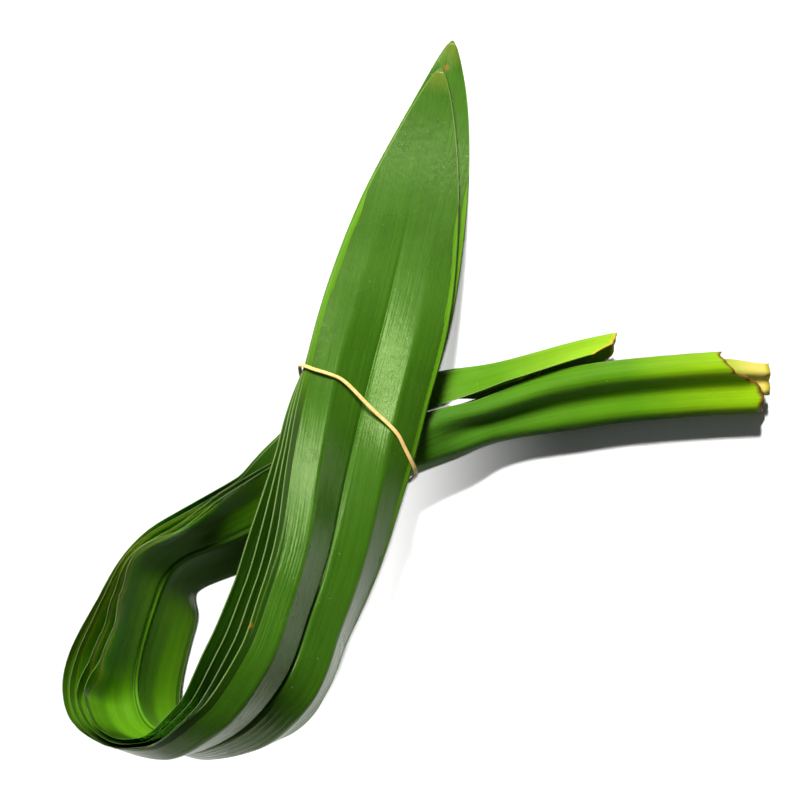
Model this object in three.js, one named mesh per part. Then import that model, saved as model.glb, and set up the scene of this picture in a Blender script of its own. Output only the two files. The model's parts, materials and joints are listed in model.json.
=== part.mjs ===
// A bunch of four long pandan leaves, tied by a rubber band where it crosses itself.
//
// The leaves lie nested in each other. From their cut bases on the right they run along the table,
// turn through a standing loop on the left, and come back over their own bases to their tips.
// Millimetres, +Z up, the table at z = 0, +X towards the cut bases and +Y towards the tips.

import * as THREE from "three";

// Driving sizes of a leaf
const BLADE_THICKNESS = 0.65;
const KEEL_EXTRA = 0.5; // how much thicker the midrib is at the cut base
const LOOP_HALF_WIDTH = 23.5; // half the blade's width laid flat, in the loop
const FULL_HALF_WIDTH = 25.2; // the widest place, at the band
const TIP_HALF_WIDTH = 0.6;
const TIP_LENGTH = 140; // over this length the blade narrows to its tip
const TIP_FULLNESS = 0.75; // under 1 gives the tip's sides their slight outward curve
const CREST = 0.52; // where the two side pleats run, as a share of the half width
const BASE_NEST_GAP = 1.5; // from one folded base to the next inside it

// How finely a blade is divided
const DIVISIONS = [[0, 2], [3.5, 10], [5.5, 5], [7.5, 4], [15, 2], [20, 4]]; // [from station, rows in each]
const PLACES_ACROSS = [-1, -0.76, -CREST, -CREST / 2, 0, CREST / 2, CREST, 0.76, 1];

// The course of the outermost leaf's midrib, station by station from base to tip: x, y, z and the
// roll of the blade in degrees. At roll 0 the upper margin lies level on the right of the way the
// leaf grows, at 90 it stands straight up, at 180 it lies level on the left.
const OUTER_COURSE = [
  [140, 34, 8, -100],
  [110, 29, 7.5, -100],
  [73, 22, 7.5, -100],
  [37, 12, 8.5, -94],
  [11, 6, 13.5, -62],
  [-15, -8, 17.2, -6],
  [-51, -48, 17, 44],
  [-87, -68.7, 21, 60],
  [-97, -90, 19.4, 54],
  [-102.6, -113, 20.2, 46],
  [-96.8, -126.8, 26.6, 50],
  [-87.6, -135.4, 35, 65],
  [-73.6, -139.4, 44.7, 86],
  [-53.7, -132.7, 58, 116],
  [-39, -117, 67, 136],
  [-31, -93, 60, 136],
  [-25, -70, 49, 142],
  [-19.4, -37.4, 35, 156],
  [-13.4, -7, 27, 172],
  [-4, 33.4, 22, 180],
  [4.8, 76.2, 14, 180],
  [12.8, 117, 4.8, 180],
  [18.4, 150, 0.7, 180],
];

// The innermost leaf's midrib, at the same stations.
const INNER_COURSE = [
  [142, 4, 9.4, 36],
  [110, 2.2, 9.4, 36],
  [73, -1.8, 9.4, 36],
  [37, -10, 9.9, 34],
  [11, -21.2, 16.4, 18],
  [-25, -39, 20.5, 28],
  [-59, -58, 24, 50],
  [-82.5, -69.5, 26.5, 58],
  [-90, -87, 28, 54],
  [-95, -113, 28, 47],
  [-91.6, -125.8, 32, 52],
  [-85.2, -131.6, 37.4, 66],
  [-75, -133.6, 44.4, 86],
  [-61.2, -127.6, 54.2, 115],
  [-51, -114, 61, 134],
  [-43, -94, 53, 136],
  [-36, -72, 42.5, 142],
  [-24.5, -38, 30.8, 156],
  [-16.4, -7, 23, 172],
  [-4, 33.4, 17.7, 180],
  [4.8, 76.2, 9.5, 180],
  [12.8, 117, -0.5, 180],
  [18.4, 150, -5.5, 180],
];

// Slopes of the blade's four lengthwise strips, in degrees towards the face that is outside in the
// loop: [station, upper margin, upper side of the midrib, lower side, lower margin]. The bases are
// folded like a V, the blade is pleated like an M, and the tip is flat.
const UPPER_BASE_PLEATS = [
  [0, 46, 54, 54, 46],
  [3, 52, 58, 58, 52],
  [4, 60, 62, 66, 64],
  [4.5, 64, 66, 68, 66],
  [5, 46, 50, 62, 58],
  [5.5, 16, 28, 46, 38],
];
const LOWER_BASE_PLEATS = [
  [0, 61, -34, -39, 59],
  [2.2, 61, -34, -39, 59],
  [3.2, 63, -46, -37, 60],
  [4, 38, -16, 12, 58],
  [4.8, 20, 26, 48, 40],
  [5.2, 2, 16, 30, 14],
];
const LOOP_PLEATS = [
  [6, -8, 16, 16, -2],
  [6.8, -20, 6, 8, 2],
  [7.8, -6, 0, 0, -6],
  [9.5, -8, 20, 20, -8],
  [11, -14, 10, 10, -16],
  [12.5, -28, 12, 12, -36],
  [13.2, -32, 16, 16, -26],
  [14.2, -34, 16, 16, -38],
  [15, -34, 16, 16, -34],
  [18, -20, 19, 19, -20],
  [19.2, -3, 3, 3, -3],
  [20.5, 0, 0, 0, 0],
];
const UPPER_PLEATS = [...UPPER_BASE_PLEATS, ...LOOP_PLEATS];
const LOWER_PLEATS = [...LOWER_BASE_PLEATS, ...LOOP_PLEATS];

// How far a nested leaf's upper half leans in against its neighbours: [station, degrees].
const RUFFLE = [[5.8, 0], [6.8, 12], [7.3, 2], [8, 10], [8.4, 19], [8.8, 19], [9.5, 2]];

// How much further on a base is cut than at its longest place: [place across, stations]. The place
// runs from -1 at the lower margin to 1 at the upper one.
const ROUND_CUT = [[-1, 0.32], [-0.55, 0.07], [0, 0], [0.55, 0.07], [1, 0.32]];
const OBLIQUE_CUT = [[-1, 0], [0, 0.05], [0.2, 0.2], [0.45, 0.4], [1, 0.52]];
const STRAIGHT_CUT = [[0, 0]];

// The four leaves, outermost first. place is 0 on the outer course and 1 on the inner one; base
// and tip are stations; widths are half the width at stations up to the loop; slide moves the blade
// towards its upper margin near the tip.
const LEAVES = [
  { name: "leaf_1", place: 0, basePlace: 0, nest: -1, pleats: UPPER_PLEATS, ruffle: 0, base: 2.5,
    cut: ROUND_CUT, widths: [[3, 10], [4.2, 8], [5.3, 15.6], [7.4, LOOP_HALF_WIDTH]], tip: 21.59,
    slide: 0, color: 0x4f8a2f },
  { name: "leaf_2", place: 0.32, basePlace: 0, nest: 0, pleats: UPPER_PLEATS, ruffle: 0.2, base: 1.72,
    cut: ROUND_CUT, widths: [[3, 13.6], [4.3, 12.5], [5.3, 15.6], [7.4, LOOP_HALF_WIDTH]],
    tip: 22, slide: -2.8, color: 0x477f2a },
  { name: "leaf_3", place: 0.62, basePlace: 1, nest: -1, pleats: LOWER_PLEATS, ruffle: 0.8, base: 0.02,
    cut: STRAIGHT_CUT,
    widths: [[0, 8.5], [0.6, 12], [1.4, 14.6], [2.2, 14.6], [3.4, 12], [4.2, 12], [5.2, 18],
      [8, LOOP_HALF_WIDTH]],
    tip: 20.9, slide: -1, color: 0x3f7726 },
  { name: "leaf_4", place: 1, basePlace: 1, nest: 0, pleats: LOWER_PLEATS, ruffle: 1, base: 0.1,
    cut: OBLIQUE_CUT, widths: [[2, 17], [3.4, 12.6], [4.2, 12], [5.2, 18], [8, LOOP_HALF_WIDTH]], tip: 20.6, slide: 0,
    color: 0x5e8c2a },
];

// Where the folded bases part from the nest: fully apart up to the first station, together from
// the second.
const BASES_PART = [5, 7.4];
const NEST_UNTIL = [6.2, 7.4]; // and here the folded bases' own nesting ends
const SLIDE_FROM = [19, 21.5];
const PRESSED_FROM = 21; // from this station on a blade lies flat where it meets the table

function smooth(from, to, value) {
  return THREE.MathUtils.smoothstep(value, from, to);
}

// The value at a station of a list of [station, value, value…] rows, eased between the rows.
function keyed(rows, column, station) {
  const next = rows.findIndex((row) => row[0] > station);
  if (next === 0) return rows[0][column];
  if (next < 0) return rows[rows.length - 1][column];
  const [before, after] = [rows[next - 1], rows[next]];
  const share = smooth(before[0], after[0], station);
  return THREE.MathUtils.lerp(before[column], after[column], share);
}

// A smooth course through its stations: the midrib's place and the blade's roll at any station.
class Course {
  constructor(rows) {
    this.last = rows.length - 1;
    this.midrib = new THREE.CatmullRomCurve3(
      rows.map(([x, y, z]) => new THREE.Vector3(x, y, z)), false, "centripetal");
    this.rolls = new THREE.CatmullRomCurve3(
      rows.map(([, , , roll], i) => new THREE.Vector3(i * 10, roll, 0)), false, "centripetal");
  }
  at(station) {
    const share = THREE.MathUtils.clamp(station / this.last, 0, 1);
    return { point: this.midrib.getPoint(share), roll: this.rolls.getPoint(share).y };
  }
}

const outer = new Course(OUTER_COURSE);
const inner = new Course(INNER_COURSE);

// A leaf's own midrib and roll: between the two courses.
function midribAt(leaf, station) {
  const place = THREE.MathUtils.lerp(leaf.basePlace, leaf.place, smooth(...BASES_PART, station));
  const [a, b] = [outer.at(station), inner.at(station)];
  return { point: a.point.lerp(b.point, place), roll: THREE.MathUtils.lerp(a.roll, b.roll, place) };
}

// The blade's frame at a station: its midrib, the way to its upper margin, and its outer side.
function frameAt(leaf, station) {
  const { point, roll } = midribAt(leaf, station);
  const step = 0.02;
  const along = midribAt(leaf, station + step).point.sub(midribAt(leaf, station - step).point);
  along.normalize();
  const level = new THREE.Vector3().crossVectors(along, new THREE.Vector3(0, 0, 1)).normalize();
  const rise = new THREE.Vector3().crossVectors(level, along);
  const angle = THREE.MathUtils.degToRad(roll);
  const upper = level.multiplyScalar(Math.cos(angle)).addScaledVector(rise, Math.sin(angle));
  const outward = new THREE.Vector3().crossVectors(along, upper).normalize();
  const nested = leaf.nest * (1 - smooth(...NEST_UNTIL, station));
  const fold = Math.max(...[1, 2, 3, 4].map((column) => keyed(leaf.pleats, column, station)));
  point.addScaledVector(outward, -nested * BASE_NEST_GAP / Math.cos(THREE.MathUtils.degToRad(fold)));
  point.addScaledVector(upper, leaf.slide * smooth(...SLIDE_FROM, station));
  return { point, upper, outward };
}

// Half the blade's width, laid flat, at a station.
function halfWidth(leaf, station, fromTip) {
  const rows = [...leaf.widths, [13, LOOP_HALF_WIDTH], [17.5, FULL_HALF_WIDTH]];
  const share = Math.min(fromTip / TIP_LENGTH, 1);
  const taper = Math.pow(Math.sin(share * Math.PI / 2), TIP_FULLNESS);
  return TIP_HALF_WIDTH + (keyed(rows, 1, station) - TIP_HALF_WIDTH) * taper;
}

// The blade's middle surface across one station: points [towards the upper margin, outward] and
// the slope there, walked out from the midrib both ways so that the blade keeps its width.
function crossSection(leaf, station, half) {
  const lean = leaf.ruffle * keyed(RUFFLE, 1, station);
  const middle = PLACES_ACROSS.indexOf(0);
  const section = PLACES_ACROSS.map(() => ({ side: 0, out: 0, slope: 0 }));
  for (const way of [1, -1]) {
    const [slopeOut, slopeIn] = (way > 0 ? [1, 2] : [4, 3]).map((column) =>
      THREE.MathUtils.degToRad(keyed(leaf.pleats, column, station) - (way > 0 ? lean : 0)));
    for (let i = middle + way; i >= 0 && i < PLACES_ACROSS.length; i += way) {
      const before = section[i - way];
      const length = Math.abs(PLACES_ACROSS[i] - PLACES_ACROSS[i - way]) * half;
      const slope = Math.abs(PLACES_ACROSS[i]) <= CREST ? slopeIn : slopeOut;
      section[i] = {
        side: before.side + way * length * Math.cos(slope),
        out: before.out + length * Math.sin(slope),
        slope: Math.abs(PLACES_ACROSS[i]) === CREST ? way * (slopeIn + slopeOut) / 2 : way * slope,
      };
    }
  }
  return section;
}

// The stations at which a leaf has its rows: shared by all the leaves, so that nested blades bend
// at the same places.
function stationsOf(leaf) {
  const shortest = 0.12;
  const stations = [leaf.base];
  DIVISIONS.forEach(([from, steps], i) => {
    const to = i + 1 < DIVISIONS.length ? DIVISIONS[i + 1][0] : outer.last;
    for (let k = 0; k < Math.round((to - from) * steps); k++) {
      const station = from + k / steps;
      if (station > leaf.base + shortest && station < leaf.tip - shortest) stations.push(station);
    }
  });
  stations.push(leaf.tip);
  return stations;
}

// One leaf: a grid of its outer face and one of its inner face, split alike, closed round the edge.
function leafGeometry(leaf) {
  const stations = stationsOf(leaf);
  const rows = stations.length - 1;
  const columns = PLACES_ACROSS.length;
  const fromTip = stations.map(() => 0);
  for (let r = rows - 1; r >= 0; r--) {
    const [here, there] = [midribAt(leaf, stations[r]).point, midribAt(leaf, stations[r + 1]).point];
    fromTip[r] = fromTip[r + 1] + here.distanceTo(there);
  }
  const positions = [];
  const push = (p) => positions.push(p.x, p.y, p.z);
  const faces = [1, -1];
  for (const face of faces) {
    for (let r = 0; r <= rows; r++) {
      for (let c = 0; c < columns; c++) {
        const across = PLACES_ACROSS[c];
        const slant = keyed(leaf.cut, 1, across) * Math.max(0, 1 - (stations[r] - leaf.base) / 2);
        const station = stations[r] + slant;
        const half = halfWidth(leaf, station, fromTip[r]);
        const { point, upper, outward } = frameAt(leaf, station);
        const { side, out, slope } = crossSection(leaf, station, half)[c];
        const keel = KEEL_EXTRA * (1 - Math.abs(across)) * (1 - smooth(4, 8, station));
        const lift = face * (BLADE_THICKNESS + keel) / 2;
        point.addScaledVector(upper, side - lift * Math.sin(slope));
        point.addScaledVector(outward, out + lift * Math.cos(slope));
        const floor = face > 0 ? BLADE_THICKNESS : 0;
        if (station > PRESSED_FROM) point.z = Math.max(point.z, floor);
        push(point);
      }
    }
  }
  const index = [];
  const at = (face, r, c) => face * (rows + 1) * columns + r * columns + c;
  const quad = (a, b, c, d) => index.push(a, b, c, a, c, d);
  for (let r = 0; r < rows; r++) {
    for (let c = 0; c < columns - 1; c++) {
      const corners = [[r, c], [r, c + 1], [r + 1, c + 1], [r + 1, c]];
      const [e, f, g, h] = corners.map((corner) => at(0, ...corner));
      index.push(e, g, f, e, h, g);
      quad(...corners.map((corner) => at(1, ...corner)));
    }
    const last = columns - 1;
    quad(at(0, r, 0), at(1, r, 0), at(1, r + 1, 0), at(0, r + 1, 0));
    quad(at(0, r, last), at(0, r + 1, last), at(1, r + 1, last), at(1, r, last));
  }
  for (let c = 0; c < columns - 1; c++) {
    quad(at(0, 0, c), at(0, 0, c + 1), at(1, 0, c + 1), at(1, 0, c));
    quad(at(0, rows, c), at(1, rows, c), at(1, rows, c + 1), at(0, rows, c + 1));
  }
  const geometry = new THREE.BufferGeometry();
  geometry.setAttribute("position", new THREE.Float32BufferAttribute(positions, 3));
  geometry.setIndex(index);
  geometry.computeVertexNormals();
  return geometry;
}

// The rubber band
const BAND_WIDTH = 1.7;
const BAND_THICKNESS = 0.9;
const BAND_STEPS = 60;
// Its loop, chosen point by point: over the returning leaves, down past their edge, under the
// bases and up again.
const BAND_LOOP = [
  [-36.6, 5.6, 29.3],
  [-31.6, 3.1, 32],
  [-26.7, 1.2, 33.3],
  [-21.4, -1.2, 33.3],
  [-11.2, -11.3, 32.5],
  [-1, -21.4, 31.5],
  [2, -26.7, 29.5],
  [4.5, -31.4, 27.2],
  [5.8, -33.9, 24],
  [4.6, -34.8, 17],
  [1.4, -34.6, 9],
  [-1.2, -34, 3.6],
  [-3.2, -31.6, 1],
  [-9, -24.5, 0.78],
  [-17, -15.7, 0.72],
  [-26, -5.8, 0.88],
  [-34, 3, 1.6],
  [-37.3, 6.4, 8],
  [-37.8, 7, 18],
];

function bandGeometry() {
  const loop = new THREE.CatmullRomCurve3(
    BAND_LOOP.map(([x, y, z]) => new THREE.Vector3(x, y, z)), true, "centripetal");
  const middle = loop.getSpacedPoints(BAND_STEPS).slice(0, BAND_STEPS)
    .reduce((sum, p) => sum.add(p), new THREE.Vector3()).divideScalar(BAND_STEPS);
  const positions = [];
  const corners = [[-1, -1], [1, -1], [1, 1], [-1, 1]];
  for (let i = 0; i < BAND_STEPS; i++) {
    const share = i / BAND_STEPS;
    const point = loop.getPointAt(share);
    const along = loop.getTangentAt(share);
    const away = point.clone().sub(middle);
    const across = new THREE.Vector3().crossVectors(along, away).normalize();
    const outward = new THREE.Vector3().crossVectors(across, along).normalize();
    for (const [sideways, out] of corners) {
      const p = point.clone().addScaledVector(across, sideways * BAND_WIDTH / 2);
      p.addScaledVector(outward, out * BAND_THICKNESS / 2);
      positions.push(p.x, p.y, p.z);
    }
  }
  const index = [];
  const at = (i, c) => (i % BAND_STEPS) * corners.length + (c % corners.length);
  for (let i = 0; i < BAND_STEPS; i++) {
    for (let c = 0; c < corners.length; c++) {
      index.push(at(i, c), at(i + 1, c + 1), at(i, c + 1));
      index.push(at(i, c), at(i + 1, c), at(i + 1, c + 1));
    }
  }
  const geometry = new THREE.BufferGeometry();
  geometry.setAttribute("position", new THREE.Float32BufferAttribute(positions, 3));
  geometry.setIndex(index);
  geometry.computeVertexNormals();
  return geometry;
}

// Where the middle of the bunch stands on the courses above: it is moved onto the origin.
const MIDDLE = new THREE.Vector2(10.6, 3);

const group = new THREE.Group();

for (const leaf of LEAVES) {
  const green = new THREE.MeshStandardMaterial({ color: leaf.color, roughness: 0.38, metalness: 0 });
  const mesh = new THREE.Mesh(leafGeometry(leaf), green);
  mesh.geometry.translate(-MIDDLE.x, -MIDDLE.y, 0);
  mesh.name = leaf.name;
  group.add(mesh);
}

const tan = new THREE.MeshStandardMaterial({ color: 0xf2b45a, roughness: 0.55, metalness: 0 });
const band = new THREE.Mesh(bandGeometry(), tan);
band.geometry.translate(-MIDDLE.x, -MIDDLE.y, 0);
band.name = "rubber_band";
group.add(band);

export default group;
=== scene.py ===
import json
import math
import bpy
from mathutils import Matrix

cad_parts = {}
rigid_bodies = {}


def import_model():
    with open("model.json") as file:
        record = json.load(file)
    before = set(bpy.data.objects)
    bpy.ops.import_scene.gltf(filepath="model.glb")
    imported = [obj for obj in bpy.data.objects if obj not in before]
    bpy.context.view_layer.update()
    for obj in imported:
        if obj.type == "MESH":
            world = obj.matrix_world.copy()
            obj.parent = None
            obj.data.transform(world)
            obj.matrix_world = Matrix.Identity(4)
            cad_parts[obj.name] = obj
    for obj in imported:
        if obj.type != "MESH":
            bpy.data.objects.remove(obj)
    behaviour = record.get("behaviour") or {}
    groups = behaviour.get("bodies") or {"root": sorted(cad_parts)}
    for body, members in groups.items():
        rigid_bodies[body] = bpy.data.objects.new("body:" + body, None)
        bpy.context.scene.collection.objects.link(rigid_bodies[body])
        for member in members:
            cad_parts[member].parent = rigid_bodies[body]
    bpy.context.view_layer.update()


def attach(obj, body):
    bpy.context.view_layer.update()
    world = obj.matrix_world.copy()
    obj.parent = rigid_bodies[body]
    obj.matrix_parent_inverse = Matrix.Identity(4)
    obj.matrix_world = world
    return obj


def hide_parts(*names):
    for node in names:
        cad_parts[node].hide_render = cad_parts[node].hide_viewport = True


bl_info = {
    "name": "Pandan Leaf Bunch",
    "version": (1, 0, 0),
    "blender": (4, 5, 0),
    "location": "3D View > Sidebar > Pandan",
    "description": "Four pleated pandan leaves curled through a loop and tied by a rubber band",
    "category": "Object",
}

import bpy
import numpy as np
from mathutils import Vector

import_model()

MM = 0.001
MIDDLE = np.array([10.6, 3.0, 0.0])  # the courses' point that stands at the origin, in millimetres

# The leaves' courses, midrib by midrib from base to tip: x, y, z in millimetres and the roll of the
# blade in degrees
OUTER_COURSE = [
    (140, 34, 8, -100),
    (110, 29, 7.5, -100),
    (73, 22, 7.5, -100),
    (37, 12, 8.5, -94),
    (11, 6, 13.5, -62),
    (-15, -8, 17.2, -6),
    (-51, -48, 17, 44),
    (-87, -68.7, 21, 60),
    (-97, -90, 19.4, 54),
    (-102.6, -113, 20.2, 46),
    (-96.8, -126.8, 26.6, 50),
    (-87.6, -135.4, 35, 65),
    (-73.6, -139.4, 44.7, 86),
    (-53.7, -132.7, 58, 116),
    (-39, -117, 67, 136),
    (-31, -93, 60, 136),
    (-25, -70, 49, 142),
    (-19.4, -37.4, 35, 156),
    (-13.4, -7, 27, 172),
    (-4, 33.4, 22, 180),
    (4.8, 76.2, 14, 180),
    (12.8, 117, 4.8, 180),
    (18.4, 150, 0.7, 180),
]
INNER_COURSE = [
    (142, 4, 9.4, 36),
    (110, 2.2, 9.4, 36),
    (73, -1.8, 9.4, 36),
    (37, -10, 9.9, 34),
    (11, -21.2, 16.4, 18),
    (-25, -39, 20.5, 28),
    (-59, -58, 24, 50),
    (-82.5, -69.5, 26.5, 58),
    (-90, -87, 28, 54),
    (-95, -113, 28, 47),
    (-91.6, -125.8, 32, 52),
    (-85.2, -131.6, 37.4, 66),
    (-75, -133.6, 44.4, 86),
    (-61.2, -127.6, 54.2, 115),
    (-51, -114, 61, 134),
    (-43, -94, 53, 136),
    (-36, -72, 42.5, 142),
    (-24.5, -38, 30.8, 156),
    (-16.4, -7, 23, 172),
    (-4, 33.4, 17.7, 180),
    (4.8, 76.2, 9.5, 180),
    (12.8, 117, -0.5, 180),
    (18.4, 150, -5.5, 180),
]

# Slopes of the blade's four lengthwise strips in degrees towards the loop's outside: (station,
# upper margin, upper side of the midrib, lower side, lower margin).
UPPER_BASE_PLEATS = [
    (0, 46, 54, 54, 46),
    (3, 52, 58, 58, 52),
    (4, 60, 62, 66, 64),
    (4.5, 64, 66, 68, 66),
    (5, 46, 50, 62, 58),
    (5.5, 16, 28, 46, 38),
]
LOWER_BASE_PLEATS = [
    (0, 61, -34, -39, 59),
    (2.2, 61, -34, -39, 59),
    (3.2, 63, -46, -37, 60),
    (4, 38, -16, 12, 58),
    (4.8, 20, 26, 48, 40),
    (5.2, 2, 16, 30, 14),
]
LOOP_PLEATS = [
    (6, -8, 16, 16, -2),
    (6.8, -20, 6, 8, 2),
    (7.8, -6, 0, 0, -6),
    (9.5, -8, 20, 20, -8),
    (11, -14, 10, 10, -16),
    (12.5, -28, 12, 12, -36),
    (13.2, -32, 16, 16, -26),
    (14.2, -34, 16, 16, -38),
    (15, -34, 16, 16, -34),
    (18, -20, 19, 19, -20),
    (19.2, -3, 3, 3, -3),
    (20.5, 0, 0, 0, 0),
]
# How far a nested leaf's upper half leans in against its neighbours: (station, degrees).
RUFFLE = [(5.8, 0), (6.8, 12), (7.3, 2), (8, 10), (8.4, 19), (8.8, 19), (9.5, 2)]

# Half widths of a blade laid flat, in millimetres: in the loop, at the band and at the tip
LOOP_HALF_WIDTH = 23.5
FULL_HALF_WIDTH = 25.2
TIP_HALF_WIDTH = 0.6
TIP_LENGTH = 140  # millimetres over which a blade narrows to its tip
TIP_FULLNESS = 0.75  # under 1, it gives the tip's sides their slight outward curve
RETURN_WIDTHS = [(13, LOOP_HALF_WIDTH), (17.5, FULL_HALF_WIDTH)]  # past the loop, for all leaves
CREST = 0.52  # where the two side pleats run, as a share of the half width
CREASE = 0.045  # half the width over which a pleat turns, as a share of the half width
BASE_FOLD = 0.2  # the same for the rounded folds of a base
CREASED_FROM = (3.5, 6)  # stations over which the rounded folds become creases
BASE_NEST_GAP = 1.5  # millimetres from one folded base to the next inside it
BASES_PART = (5, 7.4)  # stations over which the bases' two courses spread into the leaves' own
NEST_UNTIL = (6.2, 7.4)  # stations over which the gap between the two of a pair closes
SLIDE_FROM = (19, 21.5)  # stations over which a tip slides aside
PRESSED_FROM = 21  # station from which a tip lies flat on the table
SOFT_HEIGHT = 4  # millimetres up to which a margin that reaches the table gives way
ROLL_SPACING = 10.0  # how far apart the curve through the rolls takes two stations to be

# How much further on a base is cut than at its longest place: (place across, stations)
ROUND_CUT = [(-1, 0.32), (-0.55, 0.07), (0, 0), (0.55, 0.07), (1, 0.32)]
OBLIQUE_CUT = [(-1, 0), (0, 0.05), (0.2, 0.2), (0.45, 0.4), (1, 0.52)]
STRAIGHT_CUT = [(0, 0)]
CUT_REACH = 2  # stations over which the cut's slant fades out along the blade
# The waves of a ragged cut: (turns across in radians, start, share)
RAGGED_WAVES = [(9.3, 1, 1), (23, 0, 0.6)]

UPPER = UPPER_BASE_PLEATS + LOOP_PLEATS
LOWER = LOWER_BASE_PLEATS + LOOP_PLEATS
# Each leaf's place between the courses, 0 for the outer one and 1 for the inner, also at its base;
# its layer in its pair of bases; its pleats and its share of the ruffle; the stations of its base
# and tip, and its cut; how far its tip slides aside in millimetres; its half widths by station;
# whether its margin turns up; how ragged its cut is, in stations; how far it is bleached, in
# millimetres; whether its cut has dried; and a bruise's station and place across.
LEAVES = [
    dict(name="outermost_leaf", node="leaf_1", place=0, base_place=0, nest=-1, pleats=UPPER,
         ruffle=0, base=2.5, cut=ROUND_CUT, tip=21.59, slide=0,
         widths=[(3, 10), (4.2, 8), (5.3, 15.6), (7.4, LOOP_HALF_WIDTH)],
         turned=0, ragged=0.008, bleached=0, scarred=0, bruise=(14.38, 1)),
    dict(name="longest_leaf", node="leaf_2", place=0.32, base_place=0, nest=0, pleats=UPPER,
         ruffle=0.2, base=1.72, cut=ROUND_CUT, tip=22, slide=-2.8,
         widths=[(3, 13.6), (4.3, 12.5), (5.3, 15.6), (7.4, LOOP_HALF_WIDTH)],
         turned=1, ragged=0.008, bleached=0, scarred=0, bruise=(21.63, 0.1)),
    dict(name="pale_based_leaf", node="leaf_3", place=0.62, base_place=1, nest=-1, pleats=LOWER,
         ruffle=0.8, base=0.02, cut=STRAIGHT_CUT, tip=20.9, slide=-1,
         widths=[(0, 8.5), (0.6, 12), (1.4, 14.6), (2.2, 14.6), (3.4, 12), (4.2, 12), (5.2, 18),
                 (8, LOOP_HALF_WIDTH)],
         turned=1, ragged=0.004, bleached=22, scarred=0, bruise=None),
    dict(name="innermost_leaf", node="leaf_4", place=1, base_place=1, nest=0, pleats=LOWER,
         ruffle=1, base=0.1, cut=OBLIQUE_CUT, tip=20.6, slide=0,
         widths=[(2, 17), (3.4, 12.6), (4.2, 12), (5.2, 18), (8, LOOP_HALF_WIDTH)],
         turned=1, ragged=0.02, bleached=0, scarred=1, bruise=None),
]

# The groove that the midrib closes into where the bunch bends: (station, depth in millimetres)
GROOVE_DEPTH = [(5, 0), (9, 0.3), (12, 0.5), (13, 1.5), (15, 1.5), (16.2, 0.5), (19, 0.25), (20, 0)]
GROOVE_HALF_WIDTH = 0.8
# How far the inner leaves' upper margins turn up beside the next leaf: (station, millimetres)
MARGIN_TURN = [(9.5, 0), (12.5, 2.6), (16, 2.8), (17.4, 1), (18.4, 0)]
MARGIN_TURN_FROM = 0.66  # place across from which they turn up

# A blade's thickness: the base's thicker midrib thins out over these stations, and the blade thins
# towards its margins with this power of the place across
BASE_THICK_UNTIL = (4, 8)
MARGIN_POWER = 6

# Stretches of the blades as two ranges of stations, over which each starts and ends: where they
# bend hard, where they lie nested on the way back, and where the returning leaves cover them. The
# last two carry shade painted into the blades' colour, where little light reaches
BENT = ((10, 12.5), (14.5, 17))
NESTED = ((9.8, 11), (17.3, 19))
COVERED = ((4.3, 4.9), (6.2, 7.8))
# The painted shade between nested blades grows over these places across
NESTED_ACROSS = (0.4, 0.6)  # places across over which the next leaf begins to hide a blade
# How dark the painted shade under the returning leaves is, as a share of the full painted shade
COVERED_SHADE = 0.75
BLEACH_FADE = (0.2, 1)  # shares of the bleached length over which the green comes back
BRUISE_RADIUS = 1.6  # millimetres
STATION_LENGTH = 30  # millimetres between two stations, about

# How finely a blade is divided: along it, and across it with closer places in the midrib's groove
# and at the margins
ROWS_PER_STATION = 14
COLUMNS = 84
PLACES = np.unique(np.round(np.concatenate([
    np.linspace(-1, 1, COLUMNS + 1),
    np.linspace(-0.072, 0.072, 19),
    (-0.994, 0.994)]), 5))
FINE = np.linspace(-1, 1, 801)  # places at which a cross-section is summed up

# The midrib's keel on the inner face, a sharp ridge between two shallow grooves: (keel widths from
# the middle, share of the keel's height)
KEEL_PROFILE = [(0, 1), (0.9, 0.15), (1.7, -0.7), (2.6, -0.5), (3.5, 0), (4, 0)]
KEEL_GROWS = (130.0, 180.0)  # millimetres from the cut over which the keel rises
SMOOTH_TIP = (25.0, 70.0)  # millimetres from the tip over which keel and ribs rise
RIB_FADE = 3.0  # millimetres from a margin over which the ribs rise
RIB_WANDER = 0.7  # how fast the ribs' spacing changes across a blade
RIB_TURNS = 40.0  # radians that the ribs turn through over the whole range of the wander
VEIN_SPACING = 1.1  # millimetres: the real veins, 0.7 mm apart, are too fine to show

# The rubber band's loop in millimetres, over the returning leaves, down past their edge and under
# the bases
BAND_LOOP = [
    (-36.6, 5.6, 29.3),
    (-31.6, 3.1, 32),
    (-26.7, 1.2, 33.3),
    (-21.4, -1.2, 33.3),
    (-11.2, -11.3, 32.5),
    (-1, -21.4, 31.5),
    (2, -26.7, 29.5),
    (4.5, -31.4, 27.2),
    (5.8, -33.9, 24),
    (4.6, -34.8, 17),
    (1.4, -34.6, 9),
    (-1.2, -34, 3.6),
    (-3.2, -31.6, 1),
    (-9, -24.5, 0.78),
    (-17, -15.7, 0.72),
    (-26, -5.8, 0.88),
    (-34, 3, 1.6),
    (-37.3, 6.4, 8),
    (-37.8, 7, 18),
]
BAND_STEPS = 300
BAND_ROUNDING = 0.36  # radius of the band's edges, as a share of its thickness

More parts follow.
